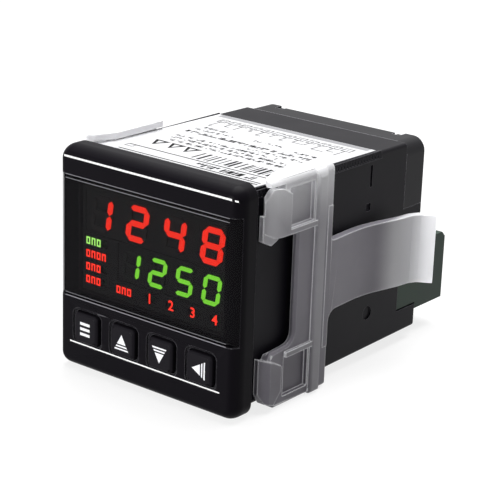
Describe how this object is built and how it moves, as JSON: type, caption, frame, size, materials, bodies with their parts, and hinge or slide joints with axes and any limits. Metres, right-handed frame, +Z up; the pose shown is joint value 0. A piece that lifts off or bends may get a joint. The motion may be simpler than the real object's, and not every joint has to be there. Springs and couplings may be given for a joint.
{
  "type": "panel temperature controller",
  "caption": "Square panel temperature controller with a two-line digit display, front keys, slide-on mounting clamp and plug-in terminal block.",
  "frame": {"origin": "centre of the bezel's rear face, which seats on the front of the panel", "axes": "+X to the right seen from the front, +Y into the panel, +Z up"},
  "size_m": [0.062, 0.0789, 0.0482],
  "materials": {
    "bezel_plastic": "fine moulded grain",
    "window_tint": "polished smoked acrylic",
    "key_rubber": "soft matt",
    "switch_plastic": "moulded",
    "display_case": "matt face of a filled block",
    "red_light": "lit",
    "red_dark": "unlit",
    "green_light": "lit",
    "green_dark": "unlit",
    "shield_plastic": "matt",
    "board_laminate": "solder resist over glass laminate",
    "housing_plastic": "fine spark-eroded grain",
    "cover_plastic": "fine spark-eroded grain",
    "label_foil": "satin silver foil",
    "relay_plastic": "moulded",
    "core_iron": "stacked sheet",
    "coil_tape": "taped winding",
    "capacitor_sleeve": "shrunk sleeve",
    "chip_resin": "moulded resin",
    "link_plastic": "moulded",
    "header_plastic": "moulded",
    "pin_metal": "tinned",
    "plug_plastic": "moulded",
    "screw_steel": "zinc plated",
    "cage_metal": "nickel plated",
    "clamp_plastic": "milky natural polymer"
  },
  "bodies": {
    "controller": {"front_bezel": "bezel_plastic", "display_window": "window_tint", "key_switches": "switch_plastic", "upper_display": "display_case", "upper_digits_lit": "red_light", "upper_digits_dark": "red_dark", "lower_display": "display_case", "lower_digits_lit": "green_light", "lower_digits_dark": "green_dark", "green_lamp": "green_light", "red_lamps": "red_light", "numbered_lamps": "red_light", "light_shield": "shield_plastic", "display_board": "board_laminate", "housing": "housing_plastic", "rear_cover": "cover_plastic", "top_label": "label_foil", "main_board": "board_laminate", "power_board": "board_laminate", "relays": "relay_plastic", "transformer_core": "core_iron", "transformer_coil": "coil_tape", "capacitors": "capacitor_sleeve", "control_chip": "chip_resin", "board_link": "link_plastic", "display_link": "link_plastic", "terminal_header": "header_plastic", "header_pins": "pin_metal"},
    "key_program_cap": {"key_program": "key_rubber"},
    "key_up_cap": {"key_up": "key_rubber"},
    "key_down_cap": {"key_down": "key_rubber"},
    "key_back_cap": {"key_back": "key_rubber"},
    "clamp": {"mounting_clamp": "clamp_plastic"},
    "plug": {"terminal_plug": "plug_plastic", "terminal_screws": "screw_steel", "wire_clamps": "cage_metal"}
  },
  "joints": [
    {"name": "key_program_press", "type": "slide", "parent": "controller", "child": "key_program_cap", "axis": [0, 1, 0], "range_m": [0, 0.0005], "stiffness_N_per_m": 900, "springref_m": -0.0006},
    {"name": "key_up_press", "type": "slide", "parent": "controller", "child": "key_up_cap", "axis": [0, 1, 0], "range_m": [0, 0.0005], "stiffness_N_per_m": 900, "springref_m": -0.0006},
    {"name": "key_down_press", "type": "slide", "parent": "controller", "child": "key_down_cap", "axis": [0, 1, 0], "range_m": [0, 0.0005], "stiffness_N_per_m": 900, "springref_m": -0.0006},
    {"name": "key_back_press", "type": "slide", "parent": "controller", "child": "key_back_cap", "axis": [0, 1, 0], "range_m": [0, 0.0005], "stiffness_N_per_m": 900, "springref_m": -0.0006},
    {"name": "clamp_slide", "type": "slide", "parent": "controller", "child": "clamp", "axis": [0, 1, 0], "range_m": [0, 0.03]},
    {"name": "plug_pull", "type": "slide", "parent": "controller", "child": "plug", "axis": [0, 1, 0], "range_m": [0, 0.008]}
  ]
}
